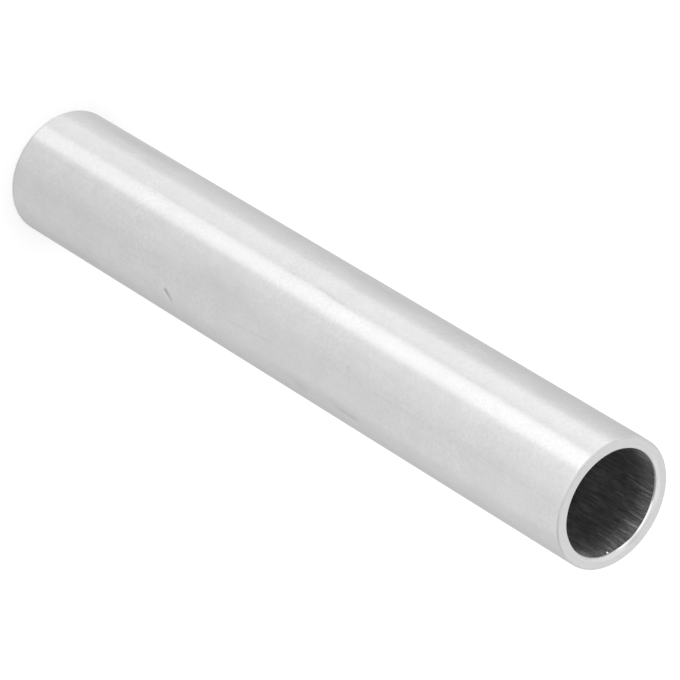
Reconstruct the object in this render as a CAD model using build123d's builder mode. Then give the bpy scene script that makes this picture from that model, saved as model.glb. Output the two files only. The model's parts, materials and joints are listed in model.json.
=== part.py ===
from build123d import *

import os

# Spacer sleeve: one straight length of drawn round aluminium tube, sawn square at both ends and
# deburred. A bolt or a rod passes through the bore, and the two flat ring faces carry the clamping
# load between the parts that the sleeve keeps apart.
#
# Frame: the sleeve stands on one end. The origin is on the axis, in the plane of the lower end
# face, and +Z runs along the bore to the upper end face. Sizes are in millimetres.

# Tube stock
OUTSIDE_DIAMETER = 16.0
WALL = 1.5

# Cut length, measured between the two end faces
LENGTH = 100.0

# Edge work, the same at both ends
MOUTH_CHAMFER = 0.4  # 45 degree countersink that clears the saw burr out of the bore
RIM_RADIUS = 0.3  # outer edge, rounded over by tumbling

outside_radius = OUTSIDE_DIAMETER / 2
bore_radius = outside_radius - WALL

with BuildPart() as sleeve:
    # The stock: a ring section carried along the axis
    with BuildSketch(Plane.XY) as ring_section:
        Circle(outside_radius)
        Circle(bore_radius, mode=Mode.SUBTRACT)
    extrude(amount=LENGTH)

    # The four circular edges, smallest radius first: two bore mouths, then two outer rims
    circles_by_radius = sleeve.edges().filter_by(GeomType.CIRCLE).group_by(SortBy.RADIUS)
    chamfer(circles_by_radius[0], MOUTH_CHAMFER)
    fillet(circles_by_radius[-1], RIM_RADIUS)

sleeve.part.label = "sleeve"

os.makedirs("parts", exist_ok=True)
export_step(sleeve.part, "parts/sleeve.step")
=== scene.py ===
import json
import math

import bpy
import numpy as np
from mathutils import Matrix, Vector


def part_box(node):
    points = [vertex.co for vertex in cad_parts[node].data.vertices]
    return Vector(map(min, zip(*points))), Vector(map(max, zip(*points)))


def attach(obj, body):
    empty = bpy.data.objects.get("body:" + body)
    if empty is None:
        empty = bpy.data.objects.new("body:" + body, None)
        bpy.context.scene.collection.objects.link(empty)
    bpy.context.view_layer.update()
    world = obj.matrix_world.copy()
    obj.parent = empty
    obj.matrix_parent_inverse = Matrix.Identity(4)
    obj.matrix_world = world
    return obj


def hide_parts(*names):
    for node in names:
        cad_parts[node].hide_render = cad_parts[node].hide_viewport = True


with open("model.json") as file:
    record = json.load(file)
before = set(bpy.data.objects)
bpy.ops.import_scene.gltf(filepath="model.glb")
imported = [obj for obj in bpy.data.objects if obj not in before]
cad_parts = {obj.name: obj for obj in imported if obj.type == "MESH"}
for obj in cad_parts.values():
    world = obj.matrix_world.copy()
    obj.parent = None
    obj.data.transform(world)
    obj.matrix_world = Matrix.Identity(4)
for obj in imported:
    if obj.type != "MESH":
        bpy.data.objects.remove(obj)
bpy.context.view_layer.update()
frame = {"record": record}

# ---------------------------------------------------------------------------------------------
# The sleeve: one cut of drawn round aluminium tube, standing on its sawn lower end.
# It is a single closed surface, a wall section carried once round the axis. Hand deburring left
# the mouth a little uneven, and handling left two small knocks on the outside.
# ---------------------------------------------------------------------------------------------

MM = 0.001
low_corner, high_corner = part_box("sleeve")
bore_mount = next(m for m in frame["record"]["mounts"] if m["name"] == "bore")
LENGTH = high_corner[2] - low_corner[2]
OUTER_RADIUS = (high_corner[0] - low_corner[0]) / 2
BORE_RADIUS = bore_mount["dims"]["r_mm"] * MM
CHAMFER = (LENGTH - bore_mount["dims"]["length_mm"] * MM) / 2
RIM_RADIUS = 0.3 * MM


def hump(distance):
    """A smooth hump, 1 at distance 0 and 0 from distance 1 on: (1 - d^2)^2."""
    return np.clip(1 - distance**2, 0, None) ** 2


def spaced(start, stop, step):
    """Values from start to stop, both kept, evenly spaced at about step."""
    return np.linspace(start, stop, max(2, round(abs(stop - start) / step) + 1))


def turn_between(turn, centre):
    """The angle from centre to turn, brought into the range -pi to pi."""
    return (turn - centre + math.pi) % (2 * math.pi) - math.pi


def hump_round(turn, centre, reach):
    """A hump round the axis: 1 at the turn centre, 0 from reach away on, both in degrees."""
    return hump(turn_between(turn, math.radians(centre)) / math.radians(reach))


# Knocks on the outside: short scrapes, each deepest near its lower end. Turn and slope are in
# degrees, the lengths in millimetres, and strength is how dark the painted shade in the scrape is.
KNOCKS = (
    # turn, height, length, width, depth, slope, bend, strength
    (50.3, 30.74, 2.15, 1.05, 0.05, 45.5, 0.10, 1.0),
    (18.6, 63.30, 1.1, 1.25, 0.01, 28, 0.0, 0.20),
)

# The burr that the deburring tool left behind, just inside the mouth
BURR_TURN = math.radians(131)
BURR_HEIGHT = LENGTH - 0.62 * MM
BURR_SIZE = 0.20 * MM
BURR_STAND = 0.16 * MM

# Angles round the axis, in steps of some degrees: closer over the burr and over the knocks,
# which are covered for a few degrees to each side for each millimetre of their length
TURN_STEP, BURR_TURN_STEP, KNOCK_TURN_STEP = 2, 0.25, 0.4
BURR_COVER, KNOCK_COVER = 2.5, 4
burr_turns = BURR_TURN + np.radians(spaced(-BURR_COVER, BURR_COVER, BURR_TURN_STEP))
knock_turns = [
    np.radians(turn + spaced(-KNOCK_COVER * length, KNOCK_COVER * length, KNOCK_TURN_STEP))
    for turn, _, length, *_ in KNOCKS
]
turns = np.concatenate((np.radians(np.arange(-180, 180, TURN_STEP)), burr_turns, *knock_turns))
turns = np.unique(turns.round(4))

# The wall section is rows of (radius, height, finish, part of the skin), up the outside, over the
# upper end, down the bore and under the lower end. A row's finish belongs to the band after it.
OUTSIDE, RIM, CUT, MOUTH, BORE = 0, 1, 2, 3, 4
WALL_SKIN, UPPER_SKIN, BORE_SKIN, LOWER_SKIN = 0, 1, 2, 3


def rows_of(radii, heights, finish, skin_part):
    """One run of section rows, the finish and the part of the skin the same for all of them."""
    return np.stack(np.broadcast_arrays(radii, heights, finish, skin_part), axis=-1)


def rounded_corner(before, corner, after, reach, count):
    """Points of a quadratic curve that takes the corner between two straight runs: it leaves the
    first run at reach before the corner and joins the second at reach after it."""
    start = corner + (before - corner) * reach / np.linalg.norm(before - corner)
    stop = corner + (after - corner) * reach / np.linalg.norm(after - corner)
    t = np.linspace(0, 1, count)[:, None]
    return (1 - t) ** 2 * start + 2 * t * (1 - t) * corner + t**2 * stop


# The mouth in section, as (radius, depth below the face): a flare that tumbling left at the lip,
# then the steep cut of the deburring tool down to the bore
LIP = np.array([BORE_RADIUS + CHAMFER, 0.0])
SHOULDER = np.array([BORE_RADIUS + 0.3 * CHAMFER, 0.38 * CHAMFER])
THROAT = np.array([BORE_RADIUS, CHAMFER])
lip_curve = rounded_corner(LIP + (MM, 0), LIP, SHOULDER, reach=0.06 * MM, count=5)
shoulder_curve = rounded_corner(LIP, SHOULDER, THROAT, reach=0.09 * MM, count=6)
throat_run = np.linspace(shoulder_curve[-1], THROAT, 6)[1:-1]
mouth_section = np.concatenate((lip_curve, shoulder_curve, throat_run))

# The face between rim and mouth: rows kept clear of both edges, and the steps between them
RIM_CLEAR, MOUTH_CLEAR, FACE_STEP = 0.10 * MM, 0.05 * MM, 0.15 * MM


def end_section(up):
    """Rows over one end, from the outside wall's edge to the bore's edge: the rounded rim, the
    flat face and the mouth. Up is True for the upper end."""
    rim_turn = np.radians(np.linspace(0, 90, 9))
    face_outer = OUTER_RADIUS - RIM_RADIUS
    rim_radii = face_outer + RIM_RADIUS * np.cos(rim_turn)
    rim = np.stack((rim_radii, RIM_RADIUS - RIM_RADIUS * np.sin(rim_turn)), axis=-1)
    face_radii = spaced(face_outer - RIM_CLEAR, lip_curve[0, 0] + MOUTH_CLEAR, FACE_STEP)
    face = np.stack((face_radii, np.zeros(len(face_radii))), axis=-1)
    outer_half, inner_half = rim[:5], rim[5:]  # the inner half is finished like the face
    pieces = (
        (outer_half, RIM),
        (np.concatenate((inner_half, face)), CUT),
        (mouth_section, MOUTH),
    )
    return [(p[:, 0], LENGTH - p[:, 1] if up else p[:, 1], finish) for p, finish in pieces]


# Heights up the outside wall: wide steps, closer over the knocks, each covered for a little more
# than half its length up and down
WALL_STEP = 2 * MM
KNOCK_STEP, KNOCK_REACH = 0.06, 0.7
wall_heights = spaced(RIM_RADIUS + 0.2 * MM, LENGTH - RIM_RADIUS - 0.2 * MM, WALL_STEP)
knock_heights = [
    MM * (height + spaced(-KNOCK_REACH * length, KNOCK_REACH * length, KNOCK_STEP))
    for _, height, length, *_ in KNOCKS
]
wall_heights = np.unique(np.concatenate((wall_heights, *knock_heights)).round(6))
wall_heights = np.concatenate(([RIM_RADIUS], wall_heights))

# Heights down the bore: close under the mouth, where the burr is, then wide steps
BURR_STEP = 0.04 * MM
under_mouth = LENGTH - CHAMFER
bore_heights = np.concatenate(
    (
        spaced(under_mouth, under_mouth - 0.4 * MM, BURR_STEP),
        spaced(under_mouth - 0.6 * MM, CHAMFER + 0.3 * MM, WALL_STEP),
        [CHAMFER + 0.05 * MM],
    )
)

# The lower end is the upper one run backwards, less the rim's first row, which the wall has
section = [rows_of(OUTER_RADIUS, wall_heights, OUTSIDE, WALL_SKIN)]
section += [rows_of(*piece, UPPER_SKIN) for piece in end_section(up=True)]
section += [rows_of(BORE_RADIUS, bore_heights, BORE, BORE_SKIN)]
section += [rows_of(BORE_RADIUS, [CHAMFER], MOUTH, LOWER_SKIN)]
low_rim, *low_inner = end_section(up=False)
section += [
    rows_of(radii[::-1], heights[::-1], finish, LOWER_SKIN)
    for radii, heights, finish in low_inner[::-1]
]
section += [rows_of(low_rim[0][:0:-1], low_rim[1][:0:-1], RIM, LOWER_SKIN)]
row_radius, row_height, row_finish, row_skin = np.concatenate(section).T
row_finish, row_skin = row_finish.astype(int), row_skin.astype(int)
radius = np.repeat(row_radius[:, None], len(turns), axis=1)
height = np.repeat(row_height[:, None], len(turns), axis=1)

# The knocks: sunk along their slant, with a little metal pushed up beside them. Along and across
# run from -1 to 1 over a knock. The groove is a hump across times a flat-topped hump along, the
# deeper the further down; the ridge is a smaller hump just off the groove's lower side.
PUSHED_UP = 0.07
on_wall = (row_skin == WALL_SKIN)[:, None]
knock_shading = np.zeros(radius.shape)
for knock_turn, knock_height, length, width, depth, slope, bend, strength in KNOCKS:
    round_wall = turn_between(turns, math.radians(knock_turn)) * OUTER_RADIUS / MM
    up_wall = height / MM - knock_height
    run, rise = math.cos(math.radians(slope)), math.sin(math.radians(slope))
    along = (round_wall * run + up_wall * rise) / (length / 2)
    across = up_wall * run - round_wall * rise - bend * (1 - along**2)
    across = across / (width / 2 * (1 + 0.2 * along))
    groove = hump(along**4) * (0.60 - 0.40 * along) * hump(across)
    ridge = hump((along + 0.2) / 0.6) * hump((across + 1.2) / 0.6)
    scrape = (groove - PUSHED_UP * ridge) * on_wall
    # Times strength, the same shape is kept as painted shade in the groove and a faint painted
    # highlight on the ridge
    knock_shading = knock_shading + strength * scrape
    radius = radius - depth * MM * scrape

# The mouth: the hand tool left a plain flatter cut at the two sides, cut deeper on one side of
# the back, skipped beside it, and wavered all round. All of it grows from nothing at the lip to
# the full amount at the bore's edge, and fades out over a millimetre down the bore.
cut_share = np.clip((BORE_RADIUS + CHAMFER - row_radius) / CHAMFER, 0, 1)
down_bore = np.clip(1 - (LENGTH - CHAMFER - row_height) / MM, 0, 1) * (row_height > LENGTH / 2)

# At the sides: part of the way from the mouth's own depth to that of a straight, flatter cut.
# A stretch is its middle and its reach to each side, in degrees of turn.
SIDE_STRETCH, SIDE_SHARE = (92, 34), 0.55
PLAIN_DEPTH = 0.8 * CHAMFER
to_plain = PLAIN_DEPTH * cut_share - np.minimum(LENGTH - row_height, CHAMFER)
to_plain = to_plain * (cut_share > 0) * down_bore
at_sides = SIDE_SHARE * hump_round(np.abs(turns), *SIDE_STRETCH)

# All round, in millimetres: the deeper stretch, less the skipped one, plus two slow waves, each
# with its count of crests, its phase and its height
DEEP_STRETCH, DEEP_CUT = (-152, 46), 0.09
SKIPPED_STRETCH, SKIPPED_CUT = (162, 13), 0.05
WAVES = ((3, 1.0, 0.012), (7, 2.0, 0.010))
skipped = hump_round(turns, *SKIPPED_STRETCH)
cut_depth = DEEP_CUT * hump_round(turns, *DEEP_STRETCH) - SKIPPED_CUT * skipped
for crests, phase, wave_height in WAVES:
    cut_depth = cut_depth + wave_height * np.sin(crests * turns + phase)
height = height - to_plain[:, None] * at_sides
height = height - MM * (cut_share * down_bore)[:, None] * cut_depth

# The burr: a grain of metal that stands out of the bore's edge, its mark also painted as a bright
# glint in the bore's colour
round_bore = turn_between(turns, BURR_TURN) * BORE_RADIUS
burr_and_glint = hump(np.hypot(round_bore, height - BURR_HEIGHT) / BURR_SIZE)
burr_and_glint = burr_and_glint * (radius < BORE_RADIUS + CHAMFER)
radius = radius - BURR_STAND * burr_and_glint

# Smudges from handling, round in degrees and up in millimetres
SMUDGES = (
    # turn, height, reach round, reach up
    (57, 59, 10, 12),
    (70, 12, 9, 7),
    (-66, 12, 13, 10),
    (-63, 58, 10, 9),
    (12, 40, 14, 8),
)
smudge = np.zeros(radius.shape)
for turn_at, height_at, reach_round, reach_up in SMUDGES:
    away = (height / MM - height_at) / reach_up
    smudge = smudge + hump_round(turns, turn_at, reach_round) * hump(away) * on_wall

points = np.stack((radius * np.sin(turns), -radius * np.cos(turns), height), axis=-1)
n_rows, n_turns = radius.shape
index = np.arange(n_rows * n_turns).reshape(n_rows, n_turns)
next_row = np.roll(index, -1, axis=0)
corners = (index, np.roll(index, -1, axis=1), np.roll(next_row, -1, axis=1), next_row)
faces = np.stack(corners, axis=-1)

skin = bpy.data.meshes.new("sleeve_skin")
skin.from_pydata(points.reshape(-1, 3), [], faces.reshape(-1, 4).tolist())
skin.polygons.foreach_set("material_index", np.repeat(row_finish, n_turns).astype(np.int32))

# The marks, kept on the skin for the finishes to read: painted shade and a faint painted highlight
# at the knocks, the burr, which is also painted as a glint, the skipped stretch and the smudges
marks = {
    "knock_shading": knock_shading,
    "burr_and_glint": burr_and_glint,
    "skipped": np.broadcast_to(skipped, radius.shape),
    "smudge": smudge,
}
for name, amount in marks.items():
    mark = skin.attributes.new(name, "FLOAT", "POINT")
    mark.data.foreach_set("value", amount.ravel().astype(np.float32))

# The skin laid flat on one square sheet, for baking. Side by side: the outside, the bore, and a
# column with the two end rings, the rings at twice their width
SHEET = 102 * MM
GAP = 1.2 * MM
outside_girth = 2 * math.pi * OUTER_RADIUS
bore_girth = 2 * math.pi * BORE_RADIUS
ring_length = (LENGTH - GAP) / 2
radius_step = np.diff(row_radius, append=row_radius[0])
height_step = np.diff(row_height, append=row_height[0])
step = np.hypot(radius_step, height_step)
travel = np.concatenate(([0], np.cumsum(step)))
first_rows = np.searchsorted(row_skin, (WALL_SKIN, UPPER_SKIN, BORE_SKIN, LOWER_SKIN))
near_travel = travel[:-1] - travel[first_rows[row_skin]]
far_travel = near_travel + step
lap = np.append(turns, turns[0] + 2 * math.pi) / (2 * math.pi) + 0.5
near_lap = np.broadcast_to(lap[:-1], (n_rows, n_turns))
far_lap = np.broadcast_to(lap[1:], (n_rows, n_turns))


def on_sheet(skin_lap, skin_travel):
    """Sheet place of a corner from its share of a turn and its travel along the section: the
    walls stand up with the turn going across, the end rings have the turn going up."""
    kind = np.broadcast_to(row_skin[:, None], skin_lap.shape)
    travel_now = np.broadcast_to(skin_travel[:, None], skin_lap.shape)
    bore_left = outside_girth + 2 * GAP
    ring_across = bore_left + bore_girth + GAP + 2 * travel_now
    wall_up = GAP / 2 + travel_now
    ring_up = GAP / 2 + skin_lap * ring_length
    across_sheet = np.choose(
        kind,
        (
            GAP + skin_lap * outside_girth,
            ring_across,
            bore_left + skin_lap * bore_girth,
            ring_across,
        ),
    )
    up_sheet = np.choose(kind, (wall_up, ring_up, wall_up, ring_up + ring_length + GAP / 2))
    return np.stack((across_sheet, up_sheet), axis=-1) / SHEET


sheet_corners = (
    on_sheet(near_lap, near_travel),
    on_sheet(far_lap, near_travel),
    on_sheet(far_lap, far_travel),
    on_sheet(near_lap, far_travel),
)
sheet = skin.uv_layers.new(name="OFBake")
sheet.data.foreach_set("uv", np.stack(sheet_corners, axis=2).ravel())

# Smooth, but with an edge wherever the skin bends by more than this
SHARP_FROM = math.radians(32)
skin.update()
skin.shade_smooth()
skin.set_sharp_from_angle(angle=SHARP_FROM)
sleeve = bpy.data.objects.new("sleeve_skin", skin)
bpy.context.scene.collection.objects.link(sleeve)
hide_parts("sleeve")
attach(sleeve, "root")

# ---------------------------------------------------------------------------------------------
# The sleeve's finishes: bright drawn metal outside, sawn faces, edges broken by tumbling and by
# the deburring tool, and a bore left dull and streaked by the drawing plug. All one aluminium.
# ---------------------------------------------------------------------------------------------


def add_node(tree, kind, inputs=None, **settings):
    """Adds a shader node; inputs maps socket names or numbers to values or outputs to link."""
    node = tree.nodes.new("ShaderNode" + kind)
    for name, value in settings.items():
        setattr(node, name, value)
    for name, value in (inputs or {}).items():
        socket = node.inputs[name]
        if isinstance(value, bpy.types.NodeSocket):
            tree.links.new(value, socket)
        else:
            socket.default_value = value
    return node


def reckon(tree, operation, *values):
    """One Math node; each value is a number or an output. Returns its output."""
    return add_node(tree, "Math", dict(enumerate(values)), operation=operation).outputs[0]


def smooth_step(tree, value, start, stop, low=0.0, high=1.0):
    """A soft step from low at start to high at stop. Returns its output."""
    ends = {"Value": value, "From Min": start, "From Max": stop, "To Min": low, "To Max": high}
    return add_node(tree, "MapRange", ends, interpolation_type="SMOOTHSTEP").outputs["Result"]


def noise(tree, spot, scale, detail, **settings):
    """Noise from 0 to 1 about a half, read at a spot. Returns its output."""
    inputs = {"Vector": spot, "Scale": scale, "Detail": detail, **settings}
    return add_node(tree, "TexNoise", inputs).outputs["Fac"]


def own_spot(tree):
    """The place on the sleeve in its own frame, in metres, as a vector."""
    return add_node(tree, "TexCoord").outputs["Object"]


def apart(tree, vector):
    """The X, Y and Z of a vector."""
    return add_node(tree, "SeparateXYZ", {0: vector}).outputs


def new_group(name, inputs, outputs):
    """A node group with float inputs (name, default) and float outputs (name). Returns it, the
    outputs that give its values, and the inputs that take its results."""
    group = bpy.data.node_groups.new(name, "ShaderNodeTree")
    for label, default in inputs:
        socket = group.interface.new_socket(label, in_out="INPUT", socket_type="NodeSocketFloat")
        socket.default_value = default
    for label in outputs:
        group.interface.new_socket(label, in_out="OUTPUT", socket_type="NodeSocketFloat")
    given = group.nodes.new("NodeGroupInput").outputs
    return group, given, group.nodes.new("NodeGroupOutput").inputs


def use_group(tree, group, **values):
    """Places a group in a material with its own values. Returns its one output."""
    node = tree.nodes.new("ShaderNodeGroup")
    node.node_tree = group
    for name, value in values.items():
        node.inputs[name.replace("_", " ")].default_value = value
    return node.outputs[0]


# Drawn lines: streaks that run the length of the tube, where the die or the plug dragged.
# Noise read on the object's coordinates, close across the tube and stretched along it.
drawn_lines, given, result = new_group(
    "drawn_lines", (("Across", 4000.0), ("Along", 200.0), ("Shift", 0.0)), ("Lines",)
)
tree = drawn_lines
place = apart(tree, own_spot(tree))
stretched = {
    "X": reckon(tree, "MULTIPLY_ADD", place["X"], given["Across"], given["Shift"]),
    "Y": reckon(tree, "MULTIPLY", place["Y"], given["Across"]),
    "Z": reckon(tree, "MULTIPLY", place["Z"], given["Along"]),
}
stretched = add_node(tree, "CombineXYZ", stretched).outputs[0]
streaks = noise(tree, stretched, 1.0, 2.0, Roughness=0.55)
tree.links.new(streaks, result["Lines"])

# Blotches: the cloudy unevenness of handled bare metal, 0 to 1 about a half
blotches, given, result = new_group("blotches", (("Scale", 300.0), ("Shift", 0.0)), ("Cloud",))
tree = blotches
moved = add_node(tree, "VectorMath", {0: own_spot(tree), 1: given["Shift"]}, operation="ADD")
cloud = noise(tree, moved.outputs[0], given["Scale"], 3.0, Roughness=0.6)
tree.links.new(cloud, result["Cloud"])

# Tool rings: fine rings round an axis, as the saw and the deburring tool leave them. Noise read
# on distance from the axis plus height, with a slow change round the turn
tool_rings, given, result = new_group(
    "tool_rings", (("Fineness", 9000.0), ("Round", 3.0), ("Off Centre", 0.0)), ("Rings",)
)
tree = tool_rings
place = apart(tree, own_spot(tree))
beside = reckon(tree, "ADD", place["X"], given["Off Centre"])
squares = reckon(tree, "MULTIPLY", beside, beside)
squares = reckon(tree, "MULTIPLY_ADD", place["Y"], place["Y"], squares)
reach = reckon(tree, "ADD", reckon(tree, "SQRT", squares), place["Z"])
round_x = reckon(tree, "DIVIDE", place["X"], OUTER_RADIUS)
round_y = reckon(tree, "DIVIDE", place["Y"], OUTER_RADIUS)
swept = {
    "X": reckon(tree, "MULTIPLY", reach, given["Fineness"]),
    "Y": reckon(tree, "MULTIPLY", round_x, given["Round"]),
    "Z": reckon(tree, "MULTIPLY", round_y, given["Round"]),
}
swept = add_node(tree, "CombineXYZ", swept).outputs[0]
tree.links.new(noise(tree, swept, 1.0, 1.0), result["Rings"])

# A score line: one line along a wall of some radius, at a turn and between two heights, its
# place wavering and its strength broken by noise
score_line, given, result = new_group(
    "score_line",
    (
        ("Turn", 0.0),
        ("Low", 0.0),
        ("High", 0.05),
        ("Width", 0.0002),
        ("Slant", 0.0),
        ("Broken", 0.5),
        ("Radius", OUTER_RADIUS),
    ),
    ("Mark",),
)
WAVER = 0.4 * MM
FADE = 1.0 * MM
tree = score_line
spot = own_spot(tree)
place = apart(tree, spot)
front = reckon(tree, "MULTIPLY", place["Y"], -1.0)
turn = reckon(tree, "ARCTAN2", place["X"], front)
aside = reckon(tree, "SUBTRACT", turn, given["Turn"])
aside = reckon(tree, "MULTIPLY", aside, given["Radius"])
climb = reckon(tree, "SUBTRACT", place["Z"], given["Low"])
aside = reckon(tree, "SUBTRACT", aside, reckon(tree, "MULTIPLY", climb, given["Slant"]))
wander = reckon(tree, "SUBTRACT", noise(tree, spot, 220.0, 1.0), 0.5)
aside = reckon(tree, "ADD", aside, reckon(tree, "MULTIPLY", wander, WAVER))
line = smooth_step(tree, reckon(tree, "ABSOLUTE", aside), given["Width"], 0.0)
left = reckon(tree, "SUBTRACT", given["High"], place["Z"])
start = smooth_step(tree, climb, 0.0, FADE)
stop = smooth_step(tree, left, 0.0, FADE)
breaks = smooth_step(tree, noise(tree, spot, 900.0, 1.0), 0.35, 0.65)
unbroken = reckon(tree, "SUBTRACT", 1.0, reckon(tree, "MULTIPLY", given["Broken"], breaks))
for share in (start, stop, unbroken):
    line = reckon(tree, "MULTIPLY", line, share)
tree.links.new(line, result["Mark"])


def bare_metal(name, roughness):
    """A bare metal with one Principled shader; returns the material's tree and the shader."""
    material = bpy.data.materials.new(name)
    material.use_nodes = True
    shader = material.node_tree.nodes["Principled BSDF"]
    shader.inputs["Metallic"].default_value = 1.0
    shader.inputs["Roughness"].default_value = roughness
    skin.materials.append(material)
    return material.node_tree, shader


def varied(tree, base, *shares):
    """base times the product of 1 + share * 2 * (value - 0.5), over the (value, share) pairs."""
    total = base
    for value, share in shares:
        factor = reckon(tree, "MULTIPLY_ADD", value, 2 * share, 1 - share)
        total = reckon(tree, "MULTIPLY", total, factor)
    return total


def changed(tree, tone, amount, share):
    """tone times 1 + share * amount: brighter by share where amount is 1, darker below 0."""
    return reckon(tree, "MULTIPLY", tone, reckon(tree, "MULTIPLY_ADD", amount, share, 1.0))


def marked(tree, tone, name, share):
    """tone changed by share where the skin's mark of that name is 1."""
    amount = add_node(tree, "Attribute", attribute_name=name).outputs["Fac"]
    return changed(tree, tone, amount, share)


def scored(tree, tone, scores, radius):
    """tone changed by strength along score lines on the wall of that radius. Turns are in
    degrees, heights and widths in millimetres, slant is a slope and broken a share."""
    for turn_at, low, high, width, slant, broken, strength in scores:
        mark = use_group(
            tree,
            score_line,
            Turn=math.radians(turn_at),
            Low=low * MM,
            High=high * MM,
            Width=width * MM,
            Slant=slant,
            Broken=broken,
            Radius=radius,
        )
        tone = changed(tree, tone, mark, strength)
    return tone


def grooved(tree, shader, depths):
    """Feeds the shader's Normal from bumps, one for each (height from 0 to 1, depth in metres)."""
    normal = None
    for value, depth in depths:
        bump = add_node(tree, "Bump", {"Height": value, "Distance": depth, "Strength": 1.0})
        if normal is not None:
            tree.links.new(normal, bump.inputs["Normal"])
        normal = bump.outputs["Normal"]
    tree.links.new(normal, shader.inputs["Normal"])


# Outside: bright drawn aluminium with a grain that is stronger in patches, faint die lines,
# cloudy handling marks, a few scores and painted shade in the knocks
OUTSIDE_TONE, OUTSIDE_ROUGHNESS = 0.625, 0.22
tree, shader = bare_metal("drawn_outside", OUTSIDE_ROUGHNESS)
fine_lines = use_group(tree, drawn_lines, Across=5200.0, Along=110.0)
broad_lines = use_group(tree, drawn_lines, Across=900.0, Along=18.0, Shift=7.0)
clouds = use_group(tree, blotches, Scale=260.0)
grain = use_group(tree, blotches, Scale=2700.0, Shift=0.3)
patches = use_group(tree, blotches, Scale=110.0, Shift=0.9)
patches = smooth_step(tree, patches, 0.40, 0.62, 0.55, 1.0)
grain = reckon(tree, "MULTIPLY_ADD", reckon(tree, "SUBTRACT", grain, 0.5), patches, 0.5)
tone = varied(tree, OUTSIDE_TONE, (clouds, 0.07), (grain, 0.125))
tone = varied(tree, tone, (fine_lines, 0.02), (broad_lines, 0.02))
# Painted shade in the knocks' grooves, with a faint painted highlight on the ridges beside them
tone = marked(tree, tone, "knock_shading", -0.50)
tone = marked(tree, tone, "smudge", smooth_step(tree, clouds, 0.35, 0.6, -0.02, -0.10))
SCORES = (
    # turn, low, high, width, slant, broken, strength
    (-27.0, 24, 62, 0.30, 0.0, 0.7, -0.02),
    (-27.8, 52, 61, 0.35, 0.047, 0.3, -0.09),
    (23.5, 60, 99, 0.28, 0.0, 0.6, -0.03),
    (38.8, 42, 51, 0.32, -0.086, 0.4, -0.045),
    (-5.0, 7, 30, 0.25, 0.0, 1.0, -0.04),
    (59.6, 61.0, 65.9, 0.65, 0.0, 0.6, -0.12),
    (62.6, 53.7, 56.7, 1.00, 0.0, 0.2, -0.10),
)
tree.links.new(scored(tree, tone, SCORES, OUTER_RADIUS), shader.inputs["Base Color"])
rough = varied(tree, OUTSIDE_ROUGHNESS, (clouds, 0.15), (fine_lines, 0.08))
tree.links.new(rough, shader.inputs["Roughness"])
grooved(tree, shader, ((clouds, 0.003 * MM), (fine_lines, 0.0006 * MM), (grain, 0.0003 * MM)))

# Outer rims: broken by tumbling, so a little duller than the walls
RIM_TONE, RIM_ROUGHNESS = 0.65, 0.58
tree, shader = bare_metal("tumbled_rim", RIM_ROUGHNESS)
clouds = use_group(tree, blotches, Scale=700.0, Shift=0.2)
specks = use_group(tree, blotches, Scale=2500.0, Shift=0.4)
tone = varied(tree, RIM_TONE, (clouds, 0.10), (specks, 0.08))
tree.links.new(tone, shader.inputs["Base Color"])
tree.links.new(varied(tree, RIM_ROUGHNESS, (clouds, 0.15)), shader.inputs["Roughness"])
grooved(tree, shader, ((specks, 0.006 * MM),))

# Sawn end faces: fine arcs from the saw, whose axis is far beside the sleeve's, evenly dull
FACE_TONE, FACE_ROUGHNESS = 0.66, 0.3
tree, shader = bare_metal("cut_end", FACE_ROUGHNESS)
arcs = use_group(tree, tool_rings, Fineness=7000.0, Round=0.7, Off_Centre=90 * MM)
clouds = use_group(tree, blotches, Scale=500.0)
tone = varied(tree, FACE_TONE, (arcs, 0.06), (clouds, 0.06))
tree.links.new(tone, shader.inputs["Base Color"])
tree.links.new(varied(tree, FACE_ROUGHNESS, (clouds, 0.15)), shader.inputs["Roughness"])
grooved(tree, shader, ((arcs, 0.0015 * MM), (clouds, 0.004 * MM)))

# Mouths: freshly cut by the deburring tool, the brightest metal, with its rings
MOUTH_TONE, MOUTH_ROUGHNESS = 0.72, 0.16
tree, shader = bare_metal("deburred_mouth", MOUTH_ROUGHNESS)
rings = use_group(tree, tool_rings, Fineness=12000.0, Round=2.0)
clouds = use_group(tree, blotches, Scale=400.0, Shift=0.7)
tone = varied(tree, MOUTH_TONE, (rings, 0.06), (clouds, 0.10))
tree.links.new(marked(tree, tone, "skipped", -0.14), shader.inputs["Base Color"])
rough = varied(tree, MOUTH_ROUGHNESS, (clouds, 0.3))
tree.links.new(marked(tree, rough, "skipped", 0.8), shader.inputs["Roughness"])
grooved(tree, shader, ((rings, 0.001 * MM), (clouds, 0.005 * MM)))

# Bore: dull, with fine streaks from the plug and a few scores; painted shade a few millimetres in,
# painted light at the mouth and a painted glint on the burr
BORE_TONE, BORE_ROUGHNESS = 0.57, 0.5
tree, shader = bare_metal("drawn_bore", BORE_ROUGHNESS)
fine_lines = use_group(tree, drawn_lines, Across=7500.0, Along=430.0, Shift=3.0)
fine_lines = smooth_step(tree, fine_lines, 0.32, 0.70)
broad_lines = use_group(tree, drawn_lines, Across=1900.0, Along=90.0, Shift=9.0)
clouds = use_group(tree, blotches, Scale=350.0, Shift=0.5)
specks = use_group(tree, blotches, Scale=2600.0, Shift=0.8)
tone = varied(tree, BORE_TONE, (fine_lines, 0.18), (broad_lines, 0.09))
tone = varied(tree, tone, (clouds, 0.08), (specks, 0.18))
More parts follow.
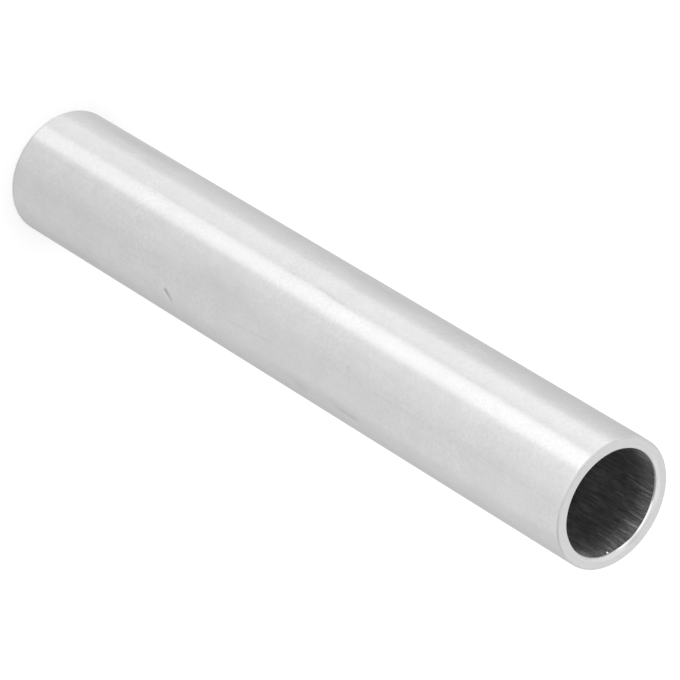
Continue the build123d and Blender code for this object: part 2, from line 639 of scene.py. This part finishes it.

# Inside each mouth, by distance from the nearer end: painted shade from about 9 mm in, taken
# off again near the mouth, where the metal is scratched, and painted light at the very mouth
from_middle = reckon(tree, "SUBTRACT", apart(tree, own_spot(tree))["Z"], LENGTH / 2)
inside = reckon(tree, "SUBTRACT", LENGTH / 2, reckon(tree, "ABSOLUTE", from_middle))
painted_shade_within = smooth_step(tree, inside, 9 * MM, 5 * MM)
shade_taken_off = smooth_step(tree, inside, 3.4 * MM, 1.2 * MM)
tone = changed(tree, tone, reckon(tree, "SUBTRACT", painted_shade_within, shade_taken_off), -0.3)
scratches = use_group(tree, drawn_lines, Across=7400.0, Along=290.0, Shift=21.0)
scratches = smooth_step(tree, scratches, 0.57, 0.70)
near_mouth = smooth_step(tree, inside, 6 * MM, 1.5 * MM)
tone = changed(tree, tone, reckon(tree, "MULTIPLY", scratches, near_mouth), 0.54)
BORE_SCORES = (
    # turn, low, high, width, slant, broken, strength
    (-149.0, 95.0, 100.0, 0.12, 0.0, 0.6, 0.8),
    (-147.0, 94.5, 100.0, 0.16, 0.0, 0.6, -0.4),
    (146.3, 95.3, 99.8, 0.12, 0.0, 0.6, 1.0),
    (-167.8, 93.8, 96.0, 0.11, 0.0, 0.6, 0.8),
)
tone = scored(tree, tone, BORE_SCORES, BORE_RADIUS)
# Painted light over the last 2 mm of each mouth
painted_light_at_mouth = smooth_step(tree, inside, 2.2 * MM, 0.6 * MM, 1.0, 1.08)
tone = reckon(tree, "MULTIPLY", tone, painted_light_at_mouth)
# The burr painted as a bright glint: the bore's colour there brought to 3.2 times its tone
tree.links.new(marked(tree, tone, "burr_and_glint", 2.2), shader.inputs["Base Color"])
rough = varied(tree, BORE_ROUGHNESS, (fine_lines, 0.15), (clouds, 0.1))
tree.links.new(rough, shader.inputs["Roughness"])
grooved(tree, shader, ((fine_lines, 0.004 * MM), (broad_lines, 0.004 * MM)))

# ---------------------------------------------------------------------------------------------
# The studio: a pale floor under the sleeve and a white surround all round it. Below the horizon
# the surround has tall soft strips, and at the horizon it is brighter in front. The camera sees
# plain white in its place.
# ---------------------------------------------------------------------------------------------

FLOOR_SIDE = 3.0
FLOOR_GREY = 0.9
FLOOR_LIFT = 0.24
half = FLOOR_SIDE / 2
floor_corners = [(-half, -half, 0), (half, -half, 0), (half, half, 0), (-half, half, 0)]
floor_mesh = bpy.data.meshes.new("floor")
floor_mesh.from_pydata(floor_corners, [], [(0, 1, 2, 3)])
floor = bpy.data.objects.new("floor", floor_mesh)
bpy.context.scene.collection.objects.link(floor)
floor.visible_glossy = False

# The floor's paint, lifted for the camera alone so that only the sleeve's shadow shows on it
floor_paint = bpy.data.materials.new("floor_paint")
floor_paint.use_nodes = True
tree = floor_paint.node_tree
paint = tree.nodes["Principled BSDF"]
paint.inputs["Base Color"].default_value = (FLOOR_GREY, FLOOR_GREY, FLOOR_GREY, 1)
paint.inputs["Roughness"].default_value = 1.0
paint.inputs["Specular IOR Level"].default_value = 0.0
seen = add_node(tree, "LightPath").outputs["Is Camera Ray"]
lift = add_node(tree, "Emission", {"Strength": reckon(tree, "MULTIPLY", seen, FLOOR_LIFT)})
both = add_node(tree, "AddShader", {0: paint.outputs[0], 1: lift.outputs[0]})
tree.links.new(both.outputs[0], tree.nodes["Material Output"].inputs["Surface"])
floor_mesh.materials.append(floor_paint)

# Tall strips of the surround, by compass turn from the front (-Y) towards +X: centre, half
# width and soft edge in degrees, how much brighter than the white around it, and how far it
# leans, in degrees of turn for a degree of elevation above the strips' foot
STRIPS = (
    (-74.5, 17, 6, 0.26, 0.0),
    (-36, 16, 9, 0.50, 0.5),
    (-50, 52, 9, 0.07, 0.0),
    (7, 23, 28, 0.09, 0.0),
    (153, 48, 40, -0.15, 0.0),
    (-173, 48, 40, -0.20, 0.0),
)
STRIP_FOOT = -42

world = bpy.data.worlds.new("studio")
world.use_nodes = True
bpy.context.scene.world = world
tree = world.node_tree
direction = apart(tree, add_node(tree, "TexCoord").outputs["Generated"])
toward_front = reckon(tree, "MULTIPLY", direction["Y"], -1.0)
compass = reckon(tree, "ARCTAN2", direction["X"], toward_front)
elevation = reckon(tree, "ARCSINE", direction["Z"])


def compass_band(centre, half_width, soft, gain, lean=0.0):
    """Gain within half_width degrees of the compass turn centre, going softly to 0 beyond."""
    away = reckon(tree, "SUBTRACT", compass, math.radians(centre - STRIP_FOOT * lean))
    if lean:
        away = reckon(tree, "SUBTRACT", away, reckon(tree, "MULTIPLY", elevation, lean))
    away = reckon(tree, "ABSOLUTE", reckon(tree, "WRAP", away, math.pi, -math.pi))
    none, full = math.radians(half_width + soft / 2), math.radians(half_width - soft / 2)
    return smooth_step(tree, away, none, full, 0.0, gain)


def elevation_step(start, stop, low=0.0, high=1.0):
    """A soft step from low to high between two elevations in degrees."""
    return smooth_step(tree, elevation, math.radians(start), math.radians(stop), low, high)


surround = 1.0
for strip in STRIPS:
    surround = reckon(tree, "ADD", surround, compass_band(*strip))

# The strips darken downwards, most in front and to the right, but not at the far left
LOWEST, LEVEL = math.radians(-62), math.radians(-28)
FAR_LEFT, LEFT = math.radians(-108), math.radians(-80)
down = {"Value": elevation, "From Min": LOWEST, "From Max": LEVEL, "To Min": -0.33, "To Max": 0.23}
slope = add_node(tree, "MapRange", down).outputs["Result"]
slope_share = smooth_step(tree, compass, FAR_LEFT, LEFT, -0.25, 1.0)
slope_share = reckon(tree, "ADD", slope_share, compass_band(42, 62, 30, 0.4))
slope = reckon(tree, "MULTIPLY_ADD", slope, slope_share, 1.0)
low_light = reckon(tree, "MULTIPLY", surround, slope)

# At the horizon: bright in front and to the left, dim to the right, and behind it a low bright
# edge with a dim band above; overhead a little dimmer again
ring = compass_band(-14, 53, 14, 0.42)
behind = reckon(
    tree, "MULTIPLY", compass_band(180, 66, 40, 1.0), elevation_step(-15, -5, 0.50, -0.14)
)
ring = reckon(tree, "ADD", ring, behind)
ring = reckon(tree, "MULTIPLY", ring, elevation_step(32, 20))
dim = reckon(tree, "MULTIPLY", compass_band(72, 36, 34, -0.6), elevation_step(14, 5))
ring = reckon(tree, "ADD", ring, dim)
zenith = elevation_step(60, 75, 0.0, -0.12)
high_light = reckon(tree, "ADD", 1.0, reckon(tree, "ADD", ring, zenith))

above = elevation_step(-32, -19)
below = reckon(tree, "SUBTRACT", 1.0, above)
high_light = reckon(tree, "MULTIPLY", high_light, above)
light = reckon(tree, "MULTIPLY_ADD", low_light, below, high_light)

studio_light = tree.nodes["Background"]
studio_light.inputs["Color"].default_value = (1, 1, 1, 1)
tree.links.new(light, studio_light.inputs["Strength"])
white = add_node(tree, "Background", {"Strength": 1.0, "Color": (1, 1, 1, 1)})
seen = add_node(tree, "LightPath").outputs["Is Camera Ray"]
pick = add_node(
    tree, "MixShader", {"Fac": seen, 1: studio_light.outputs[0], 2: white.outputs[0]}
)
tree.links.new(pick.outputs[0], tree.nodes["World Output"].inputs["Surface"])

# ---------------------------------------------------------------------------------------------
# The camera: a long lens that looks down on the standing sleeve, rolled so that the sleeve
# lies across the picture with its open upper end towards the lower right.
# ---------------------------------------------------------------------------------------------

LENS, SENSOR = 273.67, 36.0
CAMERA_DISTANCE = 595.7 * MM
CAMERA_TILT = math.radians(47.964)
CAMERA_ROLL = math.radians(121.282)
AIM = Vector((0.162 * MM, 0.0, 53.137 * MM))

camera_data = bpy.data.cameras.new("camera")
camera_data.lens = LENS
camera_data.sensor_width = SENSOR
camera = bpy.data.objects.new("camera", camera_data)
turned = Matrix.Rotation(CAMERA_TILT, 4, "X") @ Matrix.Rotation(CAMERA_ROLL, 4, "Z")
backed_off = Matrix.Translation((0, 0, CAMERA_DISTANCE))
camera.matrix_world = Matrix.Translation(AIM) @ turned @ backed_off
bpy.context.scene.collection.objects.link(camera)
bpy.context.scene.camera = camera
bpy.context.scene.view_settings.view_transform = "Standard"
